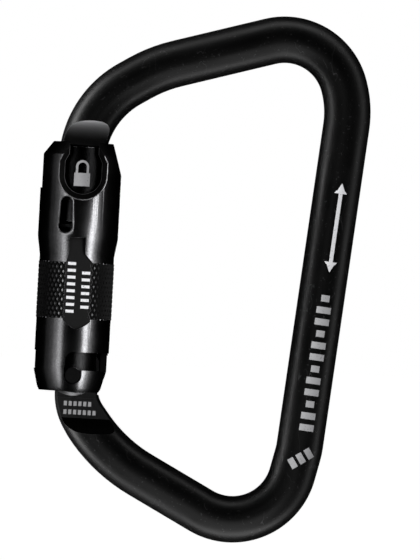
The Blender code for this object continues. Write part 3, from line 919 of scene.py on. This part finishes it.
def sleeve_rows():
    """The turned outline down the outer side and up the bore: radius, z and knurl row.

    The knurl row counts mesh steps up from the knurl's foot. It is None where there is none.
    """
    above = [
        (SLEEVE_TOP_R - EDGE, SLEEVE_LENGTH),
        (SLEEVE_TOP_R, SLEEVE_LENGTH - EDGE),
        (SLEEVE_HIGH_R - EDGE, TOP_CHAMFER_Z + EDGE),
        (SLEEVE_HIGH_R, TOP_CHAMFER_Z - EDGE),
        (SLEEVE_HIGH_R, STEP_HIGH_Z + 2 * EDGE),
        (SLEEVE_HIGH_R - EDGE / 3, STEP_HIGH_Z - 2 * EDGE),
        (SLEEVE_LOW_R + EDGE / 3, STEP_LOW_Z + 2 * EDGE),
        (SLEEVE_LOW_R, STEP_LOW_Z - 2 * EDGE),
        (SLEEVE_LOW_R, KNURL_HIGH + EDGE),
    ]
    steps = KNURL_ROWS * KNURL_SPLIT
    knurled = []
    for n in range(steps, -1, -1):
        knurled.append((SLEEVE_LOW_R, KNURL_LOW + (KNURL_HIGH - KNURL_LOW) * n / steps, n))
    below = [
        (SLEEVE_LOW_R, KNURL_LOW - EDGE),
        (SLEEVE_LOW_R, RIM_CHAMFER_Z + EDGE),
        (SLEEVE_LOW_R - EDGE / 3, RIM_CHAMFER_Z - EDGE),
        (SLEEVE_RIM_R, FOOT_CHAMFER_Z),
        (SLEEVE_FOOT_R, 0),
        (SLEEVE_BORE_R, 0),
        (SLEEVE_BORE_R, GROOVE_LOW),
        (SLEEVE_GROOVE_R, GROOVE_LOW),
        (SLEEVE_GROOVE_R, GROOVE_HIGH),
        (SLEEVE_BORE_R, GROOVE_HIGH),
        (SLEEVE_BORE_R, SLEEVE_LENGTH),
    ]
    above, below = ([(radius, z, None) for radius, z in rows] for rows in (above, below))
    return above + knurled + below


def knurl_height(column, row):
    """Height of the diamonds: 0 in both families of grooves, and flat-topped between them."""
    heights = []
    for count in (column + row, column - row):
        share = (count % KNURL_SPLIT) / KNURL_SPLIT
        heights.append(1 - abs(2 * share - 1))
    return KNURL_PROUD - KNURL_DEPTH * (1 - min(min(heights), KNURL_CREST) / KNURL_CREST)


def knurl_faces(shape, corners, heights):
    """Splits one quad of the knurl along its flatter diagonal; what slopes gets painted shade in
    near black.
    """
    a, b, c, d = corners
    if abs(heights[1] - heights[3]) < abs(heights[0] - heights[2]):
        halves = ((a, b, d), (b, c, d))
    else:
        halves = ((a, b, c), (a, c, d))
    level = dict(zip(corners, heights))
    for half in halves:
        face = shape.faces.new(half)
        if len({round(level[corner] / EDGE, 3) for corner in half}) > 1:
            # painted shade on a sloping knurl face
            face.material_index = 1


def sleeve_shell():
    """The turned sleeve, with the knurl's grooves along the mesh's edges."""
    shape = bmesh.new()
    rows = sleeve_rows()
    rings = []
    for radius, z, knurl in rows:
        ring = []
        for column in range(SLEEVE_SIDES):
            angle = tau * column / SLEEVE_SIDES
            reach = radius if knurl is None else radius + knurl_height(column, knurl)
            ring.append(shape.verts.new((reach * cos(angle), reach * sin(angle), z)))
        rings.append(ring)
    for n, (_, _, knurl) in enumerate(rows):
        upper, lower = rings[n], rings[(n + 1) % len(rows)]
        below = rows[(n + 1) % len(rows)][2]
        for column in range(SLEEVE_SIDES):
            after = (column + 1) % SLEEVE_SIDES
            corners = (upper[column], upper[after], lower[after], lower[column])
            if knurl is None or below is None:
                shape.faces.new(corners)
                continue
            places = ((column, knurl), (column + 1, knurl), (column + 1, below), (column, below))
            knurl_faces(shape, corners, [knurl_height(*at) for at in places])
    made = mesh_object("sleeve_shell", shape, ANODISED)
    # second slot: painted shade for the knurl's sloping faces
    made.data.materials.append(CUT_BLACK_AND_GROOVE_SHADE)
    return made


def scoop_outline(grow):
    """The open-topped front window: a round floor, and shoulders that lean in to a neck."""
    half = SCOOP_HALF + grow
    neck = SCOOP_NECK_HALF + grow
    top = SLEEVE_LENGTH + MM + grow
    right = [(half, SCOOP_NECK_Z - SCOOP_LEAN), (neck, SCOOP_NECK_Z), (neck, top)]
    low = arc(SCOOP_X, SCOOP_FLOOR + SCOOP_HALF, half, 180, 360, 36)
    left = [(SCOOP_X - x, z) for x, z in reversed(right)]
    return low + [(SCOOP_X + x, z) for x, z in right] + left


def keyhole_outline(grow):
    low = arc(KEYHOLE_X, KEYHOLE_LOW + KEYHOLE_BULB_R, KEYHOLE_BULB_R + grow, 160, 380, 24)
    high = arc(KEYHOLE_X, KEYHOLE_HIGH - KEYHOLE_R, KEYHOLE_R + grow, 0, 180, 20)
    return low + high


def bevelled_window(name, outline, bevel):
    """A cutter that follows the sleeve's round surface and bevels the window there.

    Both edges of the bevel are broken, and those narrow faces are the worn, bright ones; the rest
    of the cut takes painted shade in near black.
    """
    rim = 2 * EDGE
    rings = [[(x, -WINDOW_REACH, z) for x, z in outline(0)]]
    for grow, depth in (
        (0, bevel + rim / 2),
        (rim / 2, bevel - rim / 2),
        (bevel - rim / 2, rim / 2),
        (bevel + rim / 2, 0),
        (bevel + rim, -rim / 4),
    ):
        surface = SLEEVE_HIGH_R - depth
        rings.append([(x, -sqrt(surface ** 2 - x ** 2), z) for x, z in outline(grow)])
    rings.append([(x, -FAR, z) for x, z in outline(bevel + rim)])
    return second_material(loft(name, rings, WINDOW_SHADE), WORN_RIM, BRIGHT_BANDS, len(rings[0]))


def panel_outline():
    """The milled panel: a neck at the top, wide shoulders, and a pointed foot.

    Its rows are the middle, the half width and the height.
    """
    rows = [(PANEL_NECK_X, PANEL_NECK_HALF, z) for z in (PANEL_TOP, PANEL_NECK_Z)]
    for k in range(1, PANEL_STEPS + 1):
        share = k / PANEL_STEPS
        ease = share * share * (3 - 2 * share)
        middle = PANEL_NECK_X + (PANEL_X - PANEL_NECK_X) * ease
        half = PANEL_NECK_HALF + (PANEL_HALF - PANEL_NECK_HALF) * ease
        rows.append((middle, half, PANEL_NECK_Z + (PANEL_SHOULDER_Z - PANEL_NECK_Z) * share))
    for k in range(PANEL_STEPS):
        share = k / PANEL_STEPS
        half = PANEL_HALF * (1 - share ** PANEL_TIP_POWER)
        rows.append((PANEL_X, half, PANEL_WAIST_Z - (PANEL_WAIST_Z - PANEL_TIP_Z) * share))
    right = [(middle + half, z) for middle, half, z in rows]
    left = [(middle - half, z) for middle, half, z in reversed(rows)]
    return right + [(PANEL_X, PANEL_TIP_Z)] + left


def turned_to_panel(made):
    """Turns what was drawn facing -Y to where the panel faces."""
    made.data.transform(Matrix.Rotation(PANEL_TURN, 4, "Z"))
    return made


def track_cutters():
    """The two rivet tracks, half a turn apart, and the front rest notch."""
    outline = [(FAR, TRACK_LOW), (TRACK_START_X, TRACK_LOW)]
    centre_x, centre_z = TRACK_START_X + TRACK_CORNER_R, TRACK_HIGH - TRACK_CORNER_R
    outline += arc(centre_x, centre_z, TRACK_CORNER_R, 180, 90, 12) + [(FAR, TRACK_HIGH)]
    # the tracks' and the notch's walls take painted shade
    front = prism("front_track", outline, -FAR, TRACK_END_Y, WINDOW_SHADE)
    mirrored = [(-x, z) for x, z in outline]
    back = prism("back_track", mirrored, -TRACK_END_Y, FAR, WINDOW_SHADE)
    notch = arc(PIVOT_X, PIVOT_Z, NOTCH_HALF, 180, 360, 24)
    notch += [(PIVOT_X + NOTCH_HALF, TRACK_LOW + MM), (PIVOT_X - NOTCH_HALF, TRACK_LOW + MM)]
    return [front, back, prism("rest_notch", notch, -FAR, 0, WINDOW_SHADE)]


def way_cutters():
    """The ways that the frame's tang and nose pass through as the gate swings."""
    half = TANG_SLOT_HALF
    low = -MM
    # the ways' walls take painted shade
    return [
        box(name, corner, opposite, WINDOW_SHADE)
        for name, corner, opposite in (
            ("tang_way_locked", (0, -half, low), (FAR, half, TANG_SLOT_TOP)),
            ("tang_way_unlocked", (-half, 0, low), (half, FAR, TANG_SLOT_TOP)),
            ("rim_relief", (-half, -half, low), (FAR, FAR, RIM_RELIEF_TOP)),
            ("nose_way", (-FAR, -half, NOSE_WAY_FLOOR), (0, half, SLEEVE_LENGTH + MM)),
        )
    ]


def facet_cutter():
    """Planes the sleeve's top corner on the spine side."""
    rise = SLEEVE_LENGTH - TOP_FACET_Z
    facet = [
        (SLEEVE_HIGH_R + TOP_FACET_DEPTH, TOP_FACET_Z - rise),
        (SLEEVE_HIGH_R + FAR, TOP_FACET_Z - rise),
        (SLEEVE_HIGH_R + FAR, TOP_FACET_Z + 2 * rise),
        (SLEEVE_HIGH_R - 2 * TOP_FACET_DEPTH, TOP_FACET_Z + 2 * rise),
    ]
    return prism("top_facet", facet, -FAR, FAR, CUT_BLACK_AND_GROOVE_SHADE)


def make_sleeve():
    made = sleeve_shell()
    panel = turned_to_panel(prism("panel", panel_outline(), -FAR, -PANEL_Y, PANEL))
    cut(made, [panel, facet_cutter()])
    cut(made, [bevelled_window("scoop", scoop_outline, SCOOP_BEVEL)])
    cut(made, [bevelled_window("keyhole", keyhole_outline, KEYHOLE_BEVEL)])
    cut(made, track_cutters() + way_cutters())
    return place(smooth(made, 28), "sleeve", "sleeve_black", "lock_sleeve")


# Marks, all of plain generic shapes


def mark(name, lofts, material, body):
    """One mark of several closed bodies, each given as its rings."""
    shape = bmesh.new()
    for rings in lofts:
        add_loft(shape, rings)
    return place(mesh_object(name, shape, material), body, None)


def plates(name, outlines, y, material, body):
    """Thin plates on a surface that faces the front, at a depth y."""
    levels = (y - INK_PROUD, y + INK_SUNK)
    lofts = [[[(x, level, z) for x, z in outline] for level in levels] for outline in outlines]
    return mark(name, lofts, material, body)


def rectangle(x, z, width, height):
    aside, up = width / 2, height / 2
    return [(x - aside, z - up), (x + aside, z - up), (x + aside, z + up), (x - aside, z + up)]


def spine_point(distance, across, lift):
    """A point on the spine's front: distance down the straight, across it, above the coat."""
    upper = Vector(BAR_CORNERS_MM[SPINE_CORNER][:2]) * MM
    lower = Vector(BAR_CORNERS_MM[SPINE_CORNER + 1][:2]) * MM
    down = (lower - upper).normalized()
    side = Vector((-down.y, down.x))
    angle = across / BAR_R
    reach = BAR_R + lift
    flat = upper + down * distance + side * reach * sin(angle)
    return Vector((flat.x, -reach * cos(angle), flat.y))


def off_line(point, first, last):
    """Distance from a point to the stretch between two others."""
    span = last - first
    share = (point - first).dot(span) / max(span.length_squared, EDGE ** 2)
    return (point - first - span * min(max(share, 0), 1)).length


def foot_point(distance, across, lift):
    """A point on the lower bend's front, in a frame that slants across the bar there."""
    along = Vector((cos(FOOT_MARK_SLANT), sin(FOOT_MARK_SLANT)))
    flat = Vector(FOOT_MARK_AT) + along * distance + along.orthogonal() * across
    off = min(off_line(flat, a[0], b[0]) for a, b in zip(BAR_PATH, BAR_PATH[1:]))
    return Vector((flat.x, -sqrt((BAR_R + lift) ** 2 - off ** 2), flat.y))


def bar_marks(name, outlines, point, material):
    """Thin marks that follow the bar's round front, made of strips across it.

    Each outline is a list of (distance, low, high): where it is along the bar, and between
    which places across it. The point function puts those on the bar.
    """
    lofts = []
    for outline in outlines:
        rings = []
        for distance, low, high in outline:
            across = [low + (high - low) * k / MARK_STEPS for k in range(MARK_STEPS + 1)]
            ring = [point(distance, at, INK_PROUD) for at in across]
            rings.append(ring + [point(distance, at, -INK_SUNK) for at in reversed(across)])
        lofts.append(rings)
    return mark(name, lofts, material, "frame")


def bar_strip(start, length, middle, half):
    """One oblong mark for bar_marks, with a step halfway along."""
    return [(start + length * share, middle - half, middle + half) for share in (0, 0.5, 1)]


def spine_strip(*widths):
    """One mark for bar_marks on the spine, of (distance, half width) pairs."""
    middle = SPINE_MARK_ACROSS
    return [(distance, middle - half, middle + half) for distance, half in widths]


def make_spine_marks():
    """An arrow for the long axis, a rule of bars below it, and three bars on the lower bend."""
    neck, tail = ARROW_LOW + ARROW_HEAD_LENGTH, ARROW_HIGH - ARROW_HEAD_LENGTH
    arrow = [
        spine_strip((ARROW_LOW, ARROW_POINT), (neck, ARROW_HEAD_HALF)),
        spine_strip((neck, ARROW_HALF), (tail, ARROW_HALF)),
        spine_strip((tail, ARROW_HEAD_HALF), (ARROW_HIGH, ARROW_POINT)),
    ]
    rule = []
    for n in range(RULE_BARS):
        half = RULE_LONG_HALF if n % 3 else RULE_SHORT_HALF
        start = RULE_START + n * RULE_PITCH
        rule.append(bar_strip(start, RULE_BAR, SPINE_MARK_ACROSS, half))
    foot = []
    for n in range(FOOT_BARS):
        foot.append(bar_strip(FOOT_START + n * FOOT_PITCH, FOOT_BAR, 0, FOOT_HALF))
    return [
        bar_marks("axis_arrow_mark", arrow, spine_point, ARROW_INK),
        bar_marks("spine_rule_mark", rule, spine_point, GREY_INK),
        bar_marks("foot_bar_mark", foot, foot_point, GREY_INK),
    ]


def make_flat_marks():
    """Plain blocks on the hinge flat and plain bars on the sleeve's panel."""
    blocks = []
    for row, count in BLOCK_ROWS:
        for n in range(count):
            blocks.append(rectangle(BLOCK_START + n * BLOCK_PITCH, row, *BLOCK_SIZE))
    bars = []
    for x, low, count in PANEL_COLUMNS:
        for n in range(count):
            bars.append(rectangle(x, low + n * PANEL_BAR_PITCH, *PANEL_BAR_SIZE))
    flat_marks = plates("hinge_flat_blocks", blocks, -FLAT_HALF, FLAT_INK, "frame")
    panel_marks = plates("panel_rating_bars", bars, -PANEL_Y, PANEL_INK, "sleeve")
    return [flat_marks, turned_to_panel(panel_marks)]


def bent_round_gate(outline):
    """The two rings of a thin plate bent round the gate's head, where x runs round it."""
    turns = [(x / GATE_R, z) for x, z in outline]
    reaches = (GATE_R + INK_PROUD, GATE_R - INK_SUNK)
    return [[(r * sin(a), -r * cos(a), z) for a, z in turns] for r in reaches]


def make_padlock_mark():
    """A generic padlock on the gate's head: a plain body with a round shackle."""
    top = PADLOCK_LOW + PADLOCK_HEIGHT
    width = PADLOCK_WIDTH / PADLOCK_STRIPS
    outlines = []
    for n in range(PADLOCK_STRIPS):
        x = PADLOCK_X + PADLOCK_WIDTH * ((n + 0.5) / PADLOCK_STRIPS - 0.5)
        outlines.append(rectangle(x, PADLOCK_LOW + PADLOCK_HEIGHT / 2, width, PADLOCK_HEIGHT))
    for side in (-1, 1):
        x = PADLOCK_X + side * (SHACKLE_R - SHACKLE_STROKE / 2)
        outlines.append(rectangle(x, top + SHACKLE_LEG / 2, SHACKLE_STROKE, SHACKLE_LEG))
    shoulder = top + SHACKLE_LEG
    for k in range(SHACKLE_STEPS):
        first, last = 180 * k / SHACKLE_STEPS, 180 * (k + 1) / SHACKLE_STEPS
        outside = arc(PADLOCK_X, shoulder, SHACKLE_R, first, last, 1)
        inside = arc(PADLOCK_X, shoulder, SHACKLE_R - SHACKLE_STROKE, last, first, 1)
        outlines.append(outside + inside)
    lofts = [bent_round_gate(outline) for outline in outlines]
    return [mark("padlock_mark", lofts, PADLOCK_INK, "gate")]


# Studio


def make_camera():
    """Straight on from the front, rolled as the object hangs in the picture."""
    camera = bpy.data.cameras.new("camera")
    camera.lens = LENS
    camera.sensor_width = SENSOR
    made = add_object("camera", camera)
    right = Vector((cos(CAMERA_ROLL), 0, sin(CAMERA_ROLL)))
    up = Vector((-sin(CAMERA_ROLL), 0, cos(CAMERA_ROLL)))
    back = Vector((0, -1, 0))
    turn = Matrix((right, up, back)).transposed().to_4x4()
    distance = VIEW_HEIGHT * LENS / SENSOR
    made.matrix_world = Matrix.Translation(GATE_ORIGIN + VIEW_CENTRE + back * distance) @ turn
    bpy.context.scene.camera = made


def make_floor():
    """A pale floor just under the object."""
    material, tree, shader = new_material("pale_floor")
    feed(tree, shader, {
        "Base Color": (0.9, 0.9, 0.9, 1),
        "Emission Color": (1, 1, 1, 1),
        "Emission Strength": 1.0,
    })
    shape = bmesh.new()
    bmesh.ops.create_grid(shape, x_segments=1, y_segments=1, size=FLOOR_HALF)
    floor = mesh_object("floor", shape, material)
    floor.location = (0, 0, CAD_BOUNDS[0].z - FLOOR_GAP)
    floor.visible_glossy = floor.visible_diffuse = floor.visible_shadow = False


def make_world():
    """Dim surroundings, with a plain white backdrop."""
    world = bpy.data.worlds.new("studio")
    world.use_nodes = True
    bpy.context.scene.world = world
    tree = world.node_tree
    dim = tree.nodes["Background"]
    feed(tree, dim, {"Color": (1, 1, 1, 1), "Strength": DIM_RADIANCE})
    white = add(tree, "Background", {"Color": (1, 1, 1, 1), "Strength": 1.0})
    seen = add(tree, "LightPath").outputs["Is Camera Ray"]
    mix = add(tree, "MixShader", {0: seen, 1: dim.outputs[0], 2: white.outputs[0]})
    feed(tree, tree.nodes["World Output"], {"Surface": mix.outputs[0]})


def light_group(name, pieces):
    """A collection of the pieces that a set of lights is for."""
    group = bpy.data.collections.new(name)
    for piece in pieces:
        group.objects.link(piece)
    return group


def facing(where, target):
    """Stands at a place with -Z towards a target and Y as upright as it can be."""
    back = (where - target).normalized()
    along = Vector((0, 0, 1)) if abs(back.z) < 0.7 else Vector((1, 0, 0))
    side = along.cross(back).normalized()
    turn = Matrix((side, back.cross(side), back)).transposed().to_4x4()
    return Matrix.Translation(where) @ turn


def soft_light(name, where, target, size, radiance, group):
    """A rectangular light of a size across and along, which only one group takes."""
    light = bpy.data.lights.new(name, "AREA")
    light.shape = "RECTANGLE"
    light.size, light.size_y = size
    light.energy = radiance * pi * light.size * light.size_y
    made = add_object(name, light)
    made.matrix_world = facing(where, target)
    made.light_linking.receiver_collection = group


def make_mark_light(marks):
    """A broad light from the front that only the printed marks take."""
    light = bpy.data.lights.new("mark_light", "SUN")
    light.energy = MARK_LIGHT
    light.angle = radians(20)
    made = add_object("mark_light", light)
    made.rotation_euler = Vector((-0.2, -1, 0.3)).to_track_quat("Z", "Y").to_euler()
    made.light_linking.receiver_collection = light_group("printed_marks", marks)


def make_frame_lights(pieces):
    """A square ring of soft light round the picture's edge, and two faint lights in front."""
    group = light_group("frame_pieces", pieces)
    for name, side, forward, radiance in (
        ("ring_left", (-1, 0, 0), 0, 4.8),
        ("ring_right", (1, 0, 0), 0.05, 0.7),
        ("ring_below", (0, 0, -1), 0.075, 1.8),
        ("ring_above", (0, 0, 1), 0.06, 1.1),
    ):
        target = MIDDLE + Vector((0, -forward, 0))
        size = (RING_WIDTH, 2 * RING_REACH)
        soft_light(name, target + Vector(side) * RING_REACH, target, size, radiance, group)
    for name, where, size, radiance in (
        ("front_glow", Vector((-0.15, -0.58, 0)), (0.12, 0.12), 0.4),
        ("front_below", Vector((0, -0.32, -0.48)), (0.8, 0.4), 0.75),
    ):
        soft_light(name, where, MIDDLE, size, radiance, group)


def make_gate_lights(pieces):
    """Tall strips in front, one behind, and a light from below, for the gate and its sleeve.

    A strip's azimuth is in degrees from the front towards the spine, and its width in degrees.
    """
    group = light_group("gate_pieces", pieces)
    centre = GATE_ORIGIN + Vector((0, 0, SLEEVE_LENGTH / 2))
    for side, azimuth, width, radiance in (
        ("left", -39, 14, 10.0),
        ("left", -53, 14, 3.4),
        ("left", -67, 14, 1.0),
        ("left", -82, 16, 0.4),
        ("right", 41, 15, 28.0),
        ("right", 55, 14, 4.2),
        ("right", 68, 12, 0.6),
        ("behind", 180, 16, 6.0),
    ):
        angle = radians(azimuth)
        outward = Vector((sin(angle), -cos(angle), 0))
        size = (2 * STRIP_REACH * tan(radians(width) / 2), STRIP_LENGTH)
        soft_light("strip_" + side, centre + outward * STRIP_REACH, centre, size, radiance, group)
    below = GATE_ORIGIN + Vector((0, -0.06, -0.6))
    target = Vector((MIDDLE.x, below.y, MIDDLE.z))
    soft_light("gate_below", below, target, (0.3, 0.2), 0.9, group)


bpy.context.scene.view_settings.view_transform = "Standard"
make_camera()
make_floor()
make_world()
bar_piece = make_frame()
gate = make_gate()
rivet = make_rivet()
make_springs()
sleeve = make_sleeve()
make_mark_light(make_spine_marks() + make_flat_marks() + make_padlock_mark())
for node in ("latch_pin", "gate_plunger", "thrust_washer"):
    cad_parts[node].material_slots[0].material = PIN_STEEL
make_gate_lights([gate, rivet, sleeve])
make_frame_lights([bar_piece])
